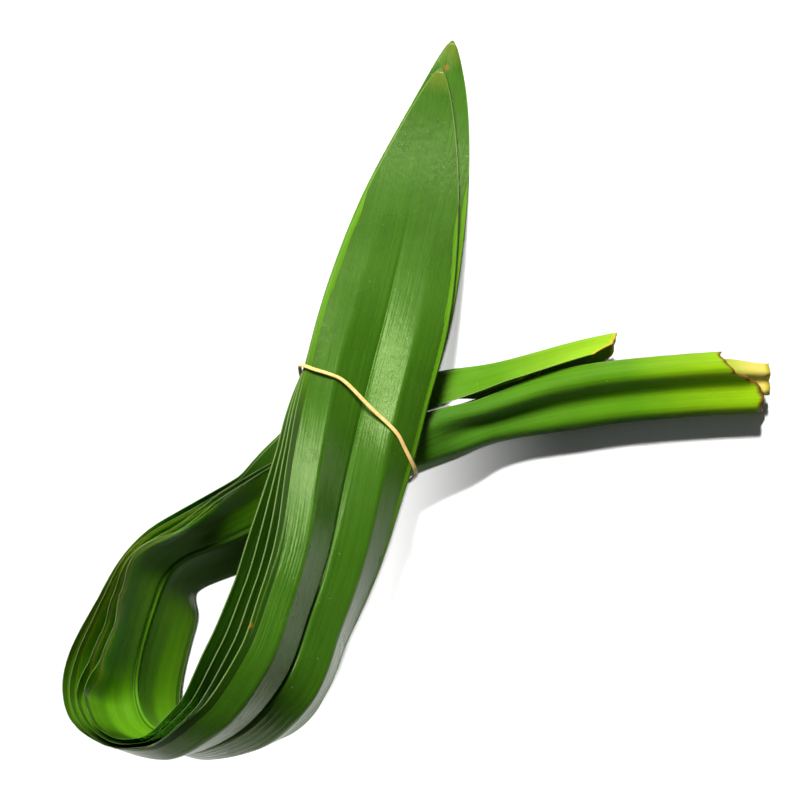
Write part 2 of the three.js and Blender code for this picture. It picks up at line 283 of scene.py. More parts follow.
# The lamps: name, place and aim in metres, size in metres, spread in degrees, the setting that holds
# its power, the rays that see it, and what it lights. The softbox gives no mirror image and the two
# panels give nothing else, so that the shading and the sheen can come from two directions.
LAMPS = [
    ("key softbox", (-0.36, 0.47, 0.93), (0, 0, 0), (0.4, 0.4), 180, "key_power", "diffuse", "bunch"),
    ("high sheen panel", (-0.31, 0.50, 0.92), (0, 0, 0), (0.3, 0.3), 180, "sheen_power", "glossy",
     "bunch"),
    ("low sheen panel", (0.11, 1.03, 0.56), (0, 0, 0), (0.25, 0.25), 180, "low_power", "glossy",
     "bunch"),
    ("overhead floor light", (-0.995, -0.2, 1), (-0.995, 0, 0), (2, 2.4), 6, "floor_power", "both",
     "ground"),
    ("raking floor light", (0.975, 0.78, 0.66), (0.975, 0, 0), (2, 1.6), 8, "raking_power", "both",
     "ground"),
]
WHITE = (1, 1, 1)
SHEEN_TINT = (1, 1, 0.92)
SKY_COLOUR = (0.95, 0.98, 1, 1)
SKY_STRENGTH = 0.08
PAPER_REACH = 3.0  # metres from the middle to each side of the background paper

# The photograph's viewing angle, in metres, with the lens in millimetres
CAMERA_PLACE = (-0.0106, -0.2230, 0.8210)
CAMERA_AIM = (-0.0106, -0.0030, 0)
CAMERA_LENS = 99.35
CAMERA_SENSOR = 36
CAMERA_REACH = 10


def linear(text):
    """The linear colour of an sRGB hex value such as "#4F8A2F"."""
    parts = [int(text[i:i + 2], 16) / 255 for i in (1, 3, 5)]
    return tuple(c / 12.92 if c <= 0.04045 else ((c + 0.055) / 1.055) ** 2.4 for c in parts)


def put(tree, kind, inputs=None, stops=None, **settings):
    """Add a node with its settings; each input is a value, or the output socket that feeds it."""
    made = tree.nodes.new(kind)
    for name, value in settings.items():
        setattr(made, name, value)
    for name, value in (inputs or {}).items():
        socket = made.inputs[name]
        if isinstance(value, bpy.types.NodeSocket):
            tree.links.new(value, socket)
        else:
            socket.default_value = (*value, 1) if socket.type == "RGBA" else value
    if stops:
        ramp = made.color_ramp
        while len(ramp.elements) < len(stops):
            ramp.elements.new(0.5)
        for element, (position, value) in zip(ramp.elements, stops):
            element.position = position
            element.color = (*value, 1)
    return made


def smooth(start, end, value):
    """0 before start, 1 after end, eased between them."""
    share = np.clip((value - start) / (end - start), 0, 1)
    return share * share * (3 - 2 * share)


def between(rise, fall, value):
    """1 between two ranges, eased up over the first and down over the second."""
    return smooth(*rise, value) * (1 - smooth(*fall, value))


def keyed(rows, column, station):
    """The value at a station of a list of rows, eased between the rows."""
    if station <= rows[0][0]:
        return rows[0][column]
    for before, after in zip(rows, rows[1:]):
        if station < after[0]:
            share = smooth(before[0], after[0], station)
            return before[column] + (after[column] - before[column]) * share
    return rows[-1][column]


def through(points, at, closed=False):
    """A point of the centripetal curve through points; at counts them."""
    count = len(points)
    whole = int(math.floor(at))
    share = at - whole
    if closed:
        four = [points[(whole + k) % count] for k in (-1, 0, 1, 2)]
    else:
        if whole >= count - 1:
            whole, share = count - 2, 1.0
        before = points[whole - 1] if whole > 0 else 2 * points[0] - points[1]
        after = points[whole + 2] if whole + 2 < count else 2 * points[-1] - points[-2]
        four = [before, points[whole], points[whole + 1], after]
    a, b, c, d = four
    first, mid, last = (math.sqrt(np.linalg.norm(q - p)) for p, q in ((a, b), (b, c), (c, d)))
    leave = ((b - a) / first - (c - a) / (first + mid) + (c - b) / mid) * mid
    arrive = ((c - b) / mid - (d - b) / (mid + last) + (d - c) / last) * mid
    return (b + leave * share + (3 * (c - b) - 2 * leave - arrive) * share ** 2
            + (2 * (b - c) + leave + arrive) * share ** 3)


class Course:
    """A smooth course through its stations: the midrib's place and the blade's roll."""

    def __init__(self, rows):
        rows = np.array(rows, float)
        self.last = len(rows) - 1
        self.midrib = rows[:, :3]
        self.rolls = np.column_stack([np.arange(len(rows)) * ROLL_SPACING, rows[:, 3]])

    def at(self, station):
        """The midrib's point and the roll at a station."""
        station = min(max(station, 0), self.last)
        return through(self.midrib, station), through(self.rolls, station)[1]


outer_course = Course(OUTER_COURSE)
inner_course = Course(INNER_COURSE)


def midrib_at(leaf, station):
    """The leaf's own midrib and roll, between the two courses."""
    place = leaf["base_place"] + (leaf["place"] - leaf["base_place"]) * smooth(*BASES_PART, station)
    (a, roll_a), (b, roll_b) = outer_course.at(station), inner_course.at(station)
    return a + (b - a) * place, roll_a + (roll_b - roll_a) * place


def unit(vector):
    """The vector at length 1."""
    return vector / np.linalg.norm(vector)


def frame_at(leaf, station):
    """The midrib's point, the way to the upper margin and the way to the outer face."""
    point, roll = midrib_at(leaf, station)
    step = 0.02  # stations to each side that give the way along
    along = unit(midrib_at(leaf, station + step)[0] - midrib_at(leaf, station - step)[0])
    level = unit(np.cross(along, (0, 0, 1)))
    rise = np.cross(level, along)
    angle = math.radians(roll)
    upper = level * math.cos(angle) + rise * math.sin(angle)
    outward = unit(np.cross(along, upper))
    nested = leaf["nest"] * (1 - smooth(*NEST_UNTIL, station))
    fold = math.radians(max(keyed(leaf["pleats"], column, station) for column in (1, 2, 3, 4)))
    point = point - outward * nested * BASE_NEST_GAP / math.cos(fold)
    point = point + upper * leaf["slide"] * smooth(*SLIDE_FROM, station)
    return point, upper, outward


def half_width(leaf, station, to_tip):
    """Half the width of the blade laid flat."""
    rows = leaf["widths"] + RETURN_WIDTHS
    taper = math.sin(min(to_tip / TIP_LENGTH, 1) * math.pi / 2) ** TIP_FULLNESS
    return TIP_HALF_WIDTH + (keyed(rows, 1, station) - TIP_HALF_WIDTH) * taper


def cross_section(leaf, station, half):
    """Offsets towards the upper margin and outward, and the signed slope, at each place across."""
    lean = leaf["ruffle"] * keyed(RUFFLE, 1, station)
    upper_margin, upper_side, lower_side, lower_margin = (
        math.radians(keyed(leaf["pleats"], column, station) - (lean if column < 3 else 0))
        for column in (1, 2, 3, 4))
    turn = BASE_FOLD + (CREASE - BASE_FOLD) * smooth(*CREASED_FROM, station)
    slopes = [-lower_margin, -lower_side, upper_side, upper_margin]
    slope = np.full_like(FINE, slopes[0])
    for place, before, after in zip((-CREST, 0, CREST), slopes, slopes[1:]):
        slope += (after - before) * smooth(place - turn, place + turn, FINE)
    step = FINE[1] - FINE[0]
    middle = len(FINE) // 2
    side, out = (
        np.concatenate([[0], np.cumsum(f((slope[1:] + slope[:-1]) / 2)) * step]) * half
        for f in (np.cos, np.sin))
    side, out, slope = (
        np.interp(PLACES, FINE, values)
        for values in (side - side[middle], out - out[middle], slope))
    depth = keyed(GROOVE_DEPTH, 1, station)
    groove = depth * np.exp(-(side / GROOVE_HALF_WIDTH) ** 2)
    slope = np.arctan(np.tan(slope) + 2 * side * groove / GROOVE_HALF_WIDTH ** 2)
    turned = leaf["turned"] * keyed(MARGIN_TURN, 1, station)
    reach = np.clip((PLACES - MARGIN_TURN_FROM) / (1 - MARGIN_TURN_FROM), 0, 1)
    rise = 2 * turned * reach / (half * (1 - MARGIN_TURN_FROM))
    slope = np.arctan(np.tan(slope) + rise)
    return side + 0.5 * turned * reach ** 2, out - groove + turned * reach ** 2, slope


def blade_mesh(leaf, thickness, margin_thickness, base_thickness):
    """The blade as one closed mesh, with the attributes that its relief and colours read."""
    count = round((leaf["tip"] - leaf["base"]) * ROWS_PER_STATION)
    stations = np.linspace(leaf["base"], leaf["tip"], count + 1)
    ribs = np.array([midrib_at(leaf, station)[0] for station in stations])
    lengths = np.linalg.norm(np.diff(ribs, axis=0), axis=1)
    along = np.concatenate([[0], np.cumsum(lengths)])
    to_tip = along[-1] - along
    cuts = np.array([keyed(leaf["cut"], 1, place) for place in PLACES])
    cuts = cuts + leaf["ragged"] * sum(
        share * np.sin(often * PLACES + start) for often, start, share in RAGGED_WAVES)
    grid = np.zeros((2, len(stations), len(PLACES), 3))
    facts = {name: np.zeros((len(stations), len(PLACES)))
             for name in ("side_mm", "along_mm", "to_tip_mm", "margin_mm", "bend", "bleached",
                          "scarred", "bruised", "shaded")}
    for row, station in enumerate(stations):
        slants = cuts * max(0, 1 - (station - leaf["base"]) / CUT_REACH)
        for slant in np.unique(slants):
            picked = slants == slant
            at = station + slant
            half = half_width(leaf, at, to_tip[row])
            point, upper, outward = frame_at(leaf, at)
            side, out, slope = (values[picked] for values in cross_section(leaf, at, half))
            place = PLACES[picked]
            full = thickness + base_thickness * (1 - abs(place)) * (1 - smooth(*BASE_THICK_UNTIL, at))
            thick = margin_thickness + (full - margin_thickness) * (1 - abs(place) ** MARGIN_POWER)
            for face, way in ((0, 1), (1, -1)):
                lift = way * thick / 2
                points = (point + np.outer(side - lift * np.sin(slope), upper)
                          + np.outer(out + lift * np.cos(slope), outward))
                if at > PRESSED_FROM:
                    points[:, 2] = np.maximum(points[:, 2], thick if way > 0 else 0)
                grid[face, row, picked] = points
            facts["side_mm"][row, picked] = place * half
            facts["along_mm"][row, picked] = along[row]
            facts["to_tip_mm"][row, picked] = to_tip[row]
            facts["margin_mm"][row, picked] = (1 - abs(place)) * half
            facts["bend"][row, picked] = between(*BENT, at)
            facts["scarred"][row, picked] = leaf["scarred"]
            # Painted shade: the blades are darkened where they lie nested on each other and where the
            # returning leaves cover them
            nested = between(*NESTED, at) * smooth(*NESTED_ACROSS, place)
            facts["shaded"][row, picked] = np.maximum(nested, COVERED_SHADE * between(*COVERED, at))
            if leaf["bleached"]:
                facts["bleached"][row, picked] = 1 - smooth(*BLEACH_FADE, along[row] / leaf["bleached"])
            if leaf["bruise"]:
                where, across = leaf["bruise"]
                distance = np.hypot((at - where) * STATION_LENGTH, (place - across) * half)
                facts["bruised"][row, picked] = np.exp(-(distance / BRUISE_RADIUS) ** 2)
    # A margin that would sink into the table is pressed up onto it
    for row in range(len(stations)):
        heights = grid[:, row, :, 2]
        sunk = max(0, -heights.min())
        heights += sunk * np.clip((SOFT_HEIGHT - heights) / (SOFT_HEIGHT + sunk), 0, 1)
    # A ring of points round the blade at each row: outer face, inner face back again
    ring = np.concatenate([grid[0], grid[1][:, ::-1]], axis=1)
    rows, width = ring.shape[:2]
    index = np.arange(rows * width).reshape(rows, width)
    quads = np.stack([index[:-1], index[1:], np.roll(index[1:], -1, 1), np.roll(index[:-1], -1, 1)],
                     axis=-1).reshape(-1, 4)
    caps = []
    for row, turned in ((0, True), (rows - 1, False)):
        for column in range(len(PLACES) - 1):
            quad = [index[row, column], index[row, column + 1],
                    index[row, width - 2 - column], index[row, width - 1 - column]]
            caps.append(quad if turned else quad[::-1])
    faces = np.concatenate([quads, caps])
    points = (ring.reshape(-1, 3) - MIDDLE) * MM
    a, b, c, d = (points[faces[:, k]] for k in range(4))
    volume = (np.einsum("ij,ij->i", a, np.cross(b, c)) + np.einsum("ij,ij->i", a, np.cross(c, d))).sum()
    if volume < 0:
        faces = faces[:, ::-1]
    mesh = bpy.data.meshes.new(leaf["name"])
    mesh.from_pydata(points.tolist(), [], faces.tolist())
    faced = {name: (values, values) for name, values in facts.items()}
    # The painted shade falls on the outer face only of leaves whose margins turn up, and on every inner
    # face
    faced["shaded"] = (facts["shaded"] * leaf["turned"], facts["shaded"])
    faced["outer_face"] = (np.ones(grid.shape[1:3]), np.zeros(grid.shape[1:3]))
    for name, (outer, inner) in faced.items():
        ringed = np.concatenate([outer, inner[:, ::-1]], axis=1)
        layer = mesh.attributes.new(name, "FLOAT", "POINT")
        layer.data.foreach_set("value", ringed.astype(np.float32).ravel())
    mesh.shade_smooth()
    mesh.update()
    return mesh


def relief_tree():
    """Raises the keel and the lengthwise ribs of a blade along its own surface."""
    tree = bpy.data.node_groups.new("Leaf Relief", "GeometryNodeTree")
    face = tree.interface
    face.new_socket("Blade", in_out="INPUT", socket_type="NodeSocketGeometry")
    for name, default in (("Keel Height", 0.0004), ("Keel Width", 0.0006), ("Rib Height", 0.00001),
                          ("Bend Rib Height", 0.00005), ("Rib Spacing", 0.0031)):
        socket = face.new_socket(name, in_out="INPUT", socket_type="NodeSocketFloat")
        socket.subtype = "DISTANCE"
        socket.default_value = default
    face.new_socket("Upper Skin", in_out="INPUT", socket_type="NodeSocketMaterial")
    face.new_socket("Lower Skin", in_out="INPUT", socket_type="NodeSocketMaterial")
    face.new_socket("Leaf", in_out="OUTPUT", socket_type="NodeSocketGeometry")
    given = put(tree, "NodeGroupInput").outputs
    side, outer, margin, to_tip, bend, along = (
        put(tree, "GeometryNodeInputNamedAttribute", {"Name": name}).outputs["Attribute"]
        for name in ("side_mm", "outer_face", "margin_mm", "to_tip_mm", "bend", "along_mm"))
    metres = put(tree, "ShaderNodeMath", {0: side, 1: MM}, operation="MULTIPLY").outputs[0]
    # The keel, only on the inner face
    share = put(tree, "ShaderNodeMath", {0: metres, 1: given["Keel Width"]}, operation="DIVIDE").outputs[0]
    distance = put(tree, "ShaderNodeMath", {0: share}, operation="ABSOLUTE").outputs[0]
    profile = put(tree, "ShaderNodeFloatCurve", {"Value": distance})
    points = profile.mapping.curves[0].points
    profile.mapping.clip_min_y = -1
    profile.mapping.clip_max_x = KEEL_PROFILE[-1][0]
    points[0].location = KEEL_PROFILE[0]
    points[1].location = KEEL_PROFILE[-1]
    for place, height in KEEL_PROFILE[1:-1]:
        points.new(place, height)
    profile.mapping.update()
    clear, grown_up, inside = (
        put(tree, "ShaderNodeMapRange", {"Value": value, "From Min": start, "From Max": end}).outputs[0]
        for value, (start, end) in ((to_tip, SMOOTH_TIP), (along, KEEL_GROWS), (margin, (0.0, RIB_FADE))))
    inner = put(tree, "ShaderNodeMath", {0: 1.0, 1: outer}, operation="SUBTRACT").outputs[0]
    keel = profile.outputs[0]
    for factor in (clear, grown_up, inner, given["Keel Height"]):
        keel = put(tree, "ShaderNodeMath", {0: keel, 1: factor}, operation="MULTIPLY").outputs[0]
    # The ribs: low waves across the blade, higher where it bends, that fade out at the margins
    waves = put(tree, "ShaderNodeMath", {0: metres, 1: given["Rib Spacing"]}, operation="DIVIDE").outputs[0]
    wander = put(tree, "ShaderNodeTexNoise", {"W": waves, "Scale": RIB_WANDER, "Detail": 1.0},
                 noise_dimensions="1D").outputs[0]
    angle = put(tree, "ShaderNodeMath", {0: wander, 1: RIB_TURNS}, operation="MULTIPLY").outputs[0]
    rise = put(tree, "ShaderNodeMapRange", {"Value": bend, "To Min": given["Rib Height"],
                                            "To Max": given["Bend Rib Height"]}).outputs[0]
    ribs = put(tree, "ShaderNodeMath", {0: angle}, operation="COSINE").outputs[0]
    for factor in (inside, clear, rise):
        ribs = put(tree, "ShaderNodeMath", {0: ribs, 1: factor}, operation="MULTIPLY").outputs[0]
    height = put(tree, "ShaderNodeMath", {0: keel, 1: ribs}, operation="ADD").outputs[0]
    normal = put(tree, "GeometryNodeInputNormal").outputs[0]
    offset = put(tree, "ShaderNodeVectorMath", {0: normal, "Scale": height}, operation="SCALE").outputs[0]
    raised = put(tree, "GeometryNodeSetPosition", {"Geometry": given["Blade"], "Offset": offset})
    real = put(tree, "GeometryNodeRealizeInstances", {"Geometry": raised.outputs[0]})
    # The upper skin on the face that looked up, the lower one on the rest
    under = put(tree, "GeometryNodeSetMaterial",
                {"Geometry": real.outputs[0], "Material": given["Lower Skin"]})
    upward = put(tree, "FunctionNodeCompare", {"A": outer, "B": 0.5}, data_type="FLOAT",
                 operation="GREATER_THAN").outputs[0]
    dressed = put(tree, "GeometryNodeSetMaterial",
                  {"Geometry": under.outputs[0], "Selection": upward, "Material": given["Upper Skin"]})
    put(tree, "NodeGroupOutput", {"Leaf": dressed.outputs[0]})
    return tree


def band_tree():
    """Sweeps a rounded flat section along the band's loop."""
    tree = bpy.data.node_groups.new("Rubber Band", "GeometryNodeTree")
    face = tree.interface
    face.new_socket("Path", in_out="INPUT", socket_type="NodeSocketGeometry")
    for name, default in (("Band Width", 0.0017), ("Band Thickness", 0.0009)):
        socket = face.new_socket(name, in_out="INPUT", socket_type="NodeSocketFloat")
        socket.subtype = "DISTANCE"
        socket.default_value = default
    face.new_socket("Rubber", in_out="INPUT", socket_type="NodeSocketMaterial")
    face.new_socket("Band", in_out="OUTPUT", socket_type="NodeSocketGeometry")
    given = put(tree, "NodeGroupInput").outputs
    away = put(tree, "GeometryNodeInputNamedAttribute", {"Name": "away"},
               data_type="FLOAT_VECTOR").outputs["Attribute"]
    path = put(tree, "GeometryNodeMeshToCurve", {"Mesh": given["Path"]}).outputs[0]
    turned = put(tree, "GeometryNodeSetCurveNormal", {"Curve": path, "Normal": away}, mode="FREE")
    section = put(tree, "GeometryNodeCurvePrimitiveQuadrilateral",
                  {"Width": given["Band Thickness"], "Height": given["Band Width"]}).outputs[0]
    radius = put(tree, "ShaderNodeMath", {0: given["Band Thickness"], 1: BAND_ROUNDING},
                 operation="MULTIPLY").outputs[0]
    rounded = put(tree, "GeometryNodeFilletCurve", {"Curve": section, "Count": 3, "Radius": radius},
                  mode="POLY").outputs[0]
    swept = put(tree, "GeometryNodeCurveToMesh",
                {"Curve": turned.outputs[0], "Profile Curve": rounded}).outputs[0]
    soft = put(tree, "GeometryNodeSetShadeSmooth", {"Geometry": swept}).outputs[0]
    real = put(tree, "GeometryNodeRealizeInstances", {"Geometry": soft}).outputs[0]
    dressed = put(tree, "GeometryNodeSetMaterial", {"Geometry": real, "Material": given["Rubber"]})
    put(tree, "NodeGroupOutput", {"Band": dressed.outputs[0]})
    return tree


def grown(base, tree, inputs):
    """The plain mesh that a tree makes of a mesh, with the modifier gone."""
    holder = bpy.data.objects.new(base.name, base)
    bpy.context.scene.collection.objects.link(holder)
    modifier = holder.modifiers.new("Shape", "NODES")
    modifier.node_group = tree
    sockets = {s.name: s.identifier for s in tree.interface.items_tree if s.in_out == "INPUT"}
    for name, value in inputs.items():
        modifier[sockets[name]] = value
    bpy.context.view_layer.update()
    shaped = holder.evaluated_get(bpy.context.evaluated_depsgraph_get())
    mesh = bpy.data.meshes.new_from_object(shaped)
    holder.modifiers.remove(modifier)
    bpy.data.objects.remove(holder)
    return mesh


def kept_piece(mesh, name, node):
    """Links a finished mesh as the piece that stands for a node."""
    if not len(mesh.polygons):
        raise RuntimeError(f"{name} came out empty")
    mesh.name = name
    piece = bpy.data.objects.new(name, mesh)
    bpy.context.scene.collection.objects.link(piece)
    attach(piece, "root")
    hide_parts(node)


def waxy_leaf(settings, name, refraction, least_roughness):
    """Fresh pandan blade: a smooth waxy skin over parallel veins, dark and glossy on the face that
    looked up, lighter and duller beneath, bleached to yellow-green where it sat in the crown."""
    made = bpy.data.materials.new(name)
    made.use_nodes = True
    tree = made.node_tree
    tree.nodes.clear()
    side, along, to_tip, margin, outer, bend, bleached, scarred, bruised, shaded = (
        put(tree, "ShaderNodeAttribute", attribute_name=fact).outputs["Fac"]
        for fact in ("side_mm", "along_mm", "to_tip_mm", "margin_mm", "outer_face", "bend", "bleached",
                     "scarred", "bruised", "shaded"))
    surface = put(tree, "ShaderNodeCombineXYZ", {"X": side, "Y": along, "Z": outer}).outputs[0]
    # Streaks along the veins, about 1 mm wide and some centimetres long, patches of 2 to 3 cm, and
    # a ripple of 3 to 5 mm
    streak, patch, ripple = (
        put(tree, "ShaderNodeTexNoise", {
            "Vector": put(tree, "ShaderNodeMapping", {"Vector": surface, "Scale": scale}).outputs[0],
            "Scale": 1.0, "Detail": detail, "Roughness": roughness}).outputs[0]
        for scale, detail, roughness in (
            ((0.9, 0.012, 3.0), 4.0, 0.65), ((0.05, 0.03, 3.0), 2.0, 0.5), ((0.35, 0.22, 3.0), 3.0, 0.6)))
    # The cut's uneven edge lies a millimetre or two in from the end
    uneven = put(tree, "ShaderNodeMath", {0: streak, 1: 3.0, 2: along}, operation="MULTIPLY_ADD").outputs[0]
    # Shares that follow a fact or a pattern: what each follows, from where to where, and its values
    share = {}
    for use, source, start, end, low, high in (
            ("age", along, 0, 300, 0, 1),
            ("streak tone", streak, 0.3, 0.7, 0.86, 1.14),
            ("patch tone", patch, 0.3, 0.7, 0.88, 1.12),
            # painted shade where the blades lie close on each other and under the returning leaves
            ("painted shade", shaded, 0, 1, 0, 0.9),
            ("keel", along, *KEEL_GROWS, 0, 1),
            ("keel's face", outer, 0, 1, 0.75, 0),
            ("margin", margin, 0.1, 0.5, 0.75, 0),
            ("point", to_tip, 1.5, 12, 0.7, 0),
            ("cut", uneven, 2.2, 3.6, 1, 0),
            ("bruise", bruised, 0.3, 0.8, 0, 0.8),
            ("vein rise", bend, 0, 1, 0.05, 0.12)):
        share[use] = put(tree, "ShaderNodeMapRange", {
            "Value": source, "From Min": start, "From Max": end, "To Min": low, "To Max": high}).outputs[0]
    # Green of each face, from the pale base on
    upper_green, lower_green = (
        put(tree, "ShaderNodeValToRGB", {"Fac": share["age"]}, stops=[
            (0.0, settings.base_green), (0.16, settings.stem_green), (0.42, linear(halfway)),
            (0.62, green)]).outputs[0]
        for halfway, green in (("#3C6E17", settings.upper_green), ("#41701A", settings.lower_green)))
    green = put(tree, "ShaderNodeMix", {0: outer, 6: lower_green, 7: upper_green},
                data_type="RGBA").outputs[2]
    tone = put(tree, "ShaderNodeMath", {0: share["streak tone"], 1: share["patch tone"]},
               operation="MULTIPLY").outputs[0]
    colour = put(tree, "ShaderNodeVectorMath", {0: green, "Scale": tone}, operation="SCALE").outputs[0]
    # Painted glints: scattered pale dots that stand for small highlights, 6 mm apart and 0.4 mm across
    cells = put(tree, "ShaderNodeTexVoronoi", {"Vector": surface, "Scale": 0.16})
    painted_glints = put(tree, "ShaderNodeMath", {0: cells.outputs["Distance"], 1: 0.03},
                 operation="LESS_THAN").outputs[0]
    # Painted shade along the keel's two shallow grooves: a dark line on each side of its ridge
    aside = put(tree, "ShaderNodeMath", {0: side}, operation="ABSOLUTE").outputs[0]
    painted_groove_shade = put(tree, "ShaderNodeValToRGB", {"Fac": aside}, stops=[
        (0.35, (0, 0, 0)), (0.6, (1, 1, 1)), (0.8, (1, 1, 1)), (1.0, (0, 0, 0))]).outputs[0]
    for factor in (share["keel"], share["keel's face"]):
        painted_groove_shade = put(tree, "ShaderNodeMath", {0: painted_groove_shade, 1: factor}, operation="MULTIPLY").outputs[0]
    # A cut is pale yellow when fresh and brown when it has dried
    cut = put(tree, "ShaderNodeMix", {0: scarred, 6: settings.cut_yellow, 7: settings.scar_brown},
              data_type="RGBA").outputs[2]
    # Layers of colour, each over the last: painted glints as scattered pale dots, painted shade in a
    # near-black green where the blades lie close on each other and under the returning leaves, painted
    # shade along the keel's two grooves, the thin pale margin with a painted highlight on its edge, the
    # yellowed point, the bleached base, the cut and a bruise
    for shown, layer in (
            (painted_glints, linear("#9DB07A")),
            (share["painted shade"], linear("#0E2405")),
            (painted_groove_shade, linear("#16300A")),
            # The thin pale margin: partly the margins' own lighter green, partly a painted highlight where
            # the thin edges catch the light
            (share["margin"], settings.margin_green_and_edge_highlight),
            (share["point"], settings.tip_green),
            (bleached, settings.pale_base),
            (share["cut"], cut),
            (share["bruise"], settings.scar_brown)):
        colour = put(tree, "ShaderNodeMix", {0: shown, 6: colour, 7: layer}, data_type="RGBA").outputs[2]
    # The skin's relief: veins, ripple and streaks
    phase = put(tree, "ShaderNodeMath", {0: side, 1: 2 * math.pi / VEIN_SPACING},
                operation="MULTIPLY").outputs[0]
    vein = put(tree, "ShaderNodeMath", {0: phase}, operation="SINE").outputs[0]
    relief = put(tree, "ShaderNodeMath", {0: vein, 1: share["vein rise"]}, operation="MULTIPLY").outputs[0]
    for pattern, rise in ((ripple, 1.2), (streak, 0.9)):
        relief = put(tree, "ShaderNodeMath", {0: pattern, 1: rise, 2: relief},
                     operation="MULTIPLY_ADD").outputs[0]
    bump = put(tree, "ShaderNodeBump", {"Height": relief, "Strength": 0.5, "Distance": 0.0002}).outputs[0]
    # The wax is duller in some patches
    worn = put(tree, "ShaderNodeMath", {0: patch, 1: 0.12, 2: least_roughness},
               operation="MULTIPLY_ADD").outputs[0]
    skin = put(tree, "ShaderNodeBsdfPrincipled", {
        "Base Color": colour, "Roughness": worn, "Normal": bump, "IOR": refraction,
        "Specular Tint": linear("#E2FFB4"), "Subsurface Weight": 0.25, "Subsurface Scale": 0.001,
        "Subsurface Radius": (0.6, 1.2, 0.2)})
    put(tree, "ShaderNodeOutputMaterial", {"Surface": skin.outputs[0]})
    return made


def natural_rubber(settings):
    """Extruded natural rubber: dull, slightly see-through tan with a dusting of talc."""
    made = bpy.data.materials.new("natural rubber")
    made.use_nodes = True
    tree = made.node_tree
    tree.nodes.clear()
    place = put(tree, "ShaderNodeTexCoord").outputs["Object"]
    dust = put(tree, "ShaderNodeTexNoise", {"Vector": place, "Scale": 900.0, "Detail": 3.0}).outputs[0]
    colour = put(tree, "ShaderNodeMix", {0: dust, 6: settings.band_colour, 7: linear("#FBE3A0")},
                 data_type="RGBA").outputs[2]
    bump = put(tree, "ShaderNodeBump", {"Height": dust, "Strength": 0.2, "Distance": 0.0001}).outputs[0]
    skin = put(tree, "ShaderNodeBsdfPrincipled", {
        "Base Color": colour, "Roughness": 0.52, "Normal": bump, "IOR": 1.52,
        "Subsurface Weight": 0.1, "Subsurface Scale": 0.001, "Subsurface Radius": (1.0, 0.7, 0.3)})
    put(tree, "ShaderNodeOutputMaterial", {"Surface": skin.outputs[0]})
    return made


def white_paper(settings):
    """Seamless background paper: matte and white, so that only soft shadows show on it."""
    made = bpy.data.materials.new("white background paper")
    made.use_nodes = True
    skin = made.node_tree.nodes["Principled BSDF"]
    skin.inputs["Base Color"].default_value = (*settings.floor_colour, 1)
    skin.inputs["Roughness"].default_value = 0.9
    return made


def colour_setting(name, description, value):
    """A colour that a user can change."""
    return bpy.props.FloatVectorProperty(name=name, description=description, subtype="COLOR", size=3,
                                         min=0, max=1, default=linear(value))


def length_setting(name, description, default, least, most):
    """A length in metres that a user can change."""
    return bpy.props.FloatProperty(name=name, description=description, default=default, min=least,
                                   max=most, unit="LENGTH", subtype="DISTANCE")


def power_setting(name, description, default):
    """A lamp's power in watts that a user can change."""
    return bpy.props.FloatProperty(name=name, description=description, default=default, min=0,
                                   unit="POWER")


class PandanSettings(bpy.types.PropertyGroup):
    """Sizes and colours of the bunch and its stage"""
    blade_thickness: length_setting(
        "Blade Thickness", "Thickness of a blade beside its midrib", 0.00055, 0.0003, 0.001)
    margin_thickness: length_setting(
        "Margin Thickness", "Thickness of a blade at its margins", 0.0003, 0.0002, 0.001)
    base_thickness: length_setting(
        "Base Thickening", "How much thicker the midrib is at the cut base", 0.0006, 0, 0.002)
    keel_height: length_setting(
        "Keel Height", "How far the midrib stands out of the lower face", 0.0004, 0, 0.001)
    keel_width: length_setting(
        "Keel Width", "Half the width of the midrib's ridge", 0.0006, 0.0002, 0.002)
    rib_height: length_setting(
        "Rib Height", "Height of the low lengthwise ribs", 0.00001, 0, 0.0003)
    bend_rib_height: length_setting(
        "Bend Rib Height", "Height of the ribs where the bunch bends", 0.00005, 0, 0.0003)
    rib_spacing: length_setting(
        "Rib Spacing", "Width over which the pattern of the ribs changes", 0.0031, 0.001, 0.01)
    upper_green: colour_setting("Upper Face", "Green of the glossy face", "#36600F")
    lower_green: colour_setting("Lower Face", "Green of the dull face", "#548A10")
    stem_green: colour_setting("Stem", "Green of a blade just past its base", "#568A10")
    base_green: colour_setting("Base", "Yellow-green of the cut bases", "#90BA10")
    pale_base: colour_setting("Pale Base", "Cream of a base bleached by its neighbours", "#D9CB62")
    # Partly the margins' own lighter green, partly a painted highlight on the thin edges
    margin_green_and_edge_highlight: colour_setting("Margin", "Pale green of the margins", "#7C9A50")
    tip_green: colour_setting("Tip", "Yellowed green of the points", "#6F7A22")
    cut_yellow: colour_setting("Cut", "Pale yellow of the fresh cuts", "#D8C63A")
    scar_brown: colour_setting("Scar", "Brown of a dried cut and of bruises", "#8A6226")
    band_width: length_setting("Band Width", "Width of the rubber band", 0.0015, 0.001, 0.004)
    band_thickness: length_setting(
        "Band Thickness", "Thickness of the rubber band", 0.0008, 0.0005, 0.002)
    band_colour: colour_setting("Band", "Tan of the rubber band", "#DDA236")
    floor_colour: colour_setting("Floor", "White of the background paper", "#F4F4F2")
    key_power: power_setting("Key Power", "Power of the high softbox on the leaves", 23)
    sheen_power: power_setting(
        "Sheen Power", "Power of the high panel that the waxy skin mirrors", 7)
    low_power: power_setting(
        "Low Sheen Power", "Power of the low panel that the waxy skin mirrors", 4)
    floor_power: power_setting(
        "Floor Power", "Power of the overhead light on the background", 20)
    raking_power: power_setting(
        "Raking Power", "Power of the low light on the background's base side", 20)


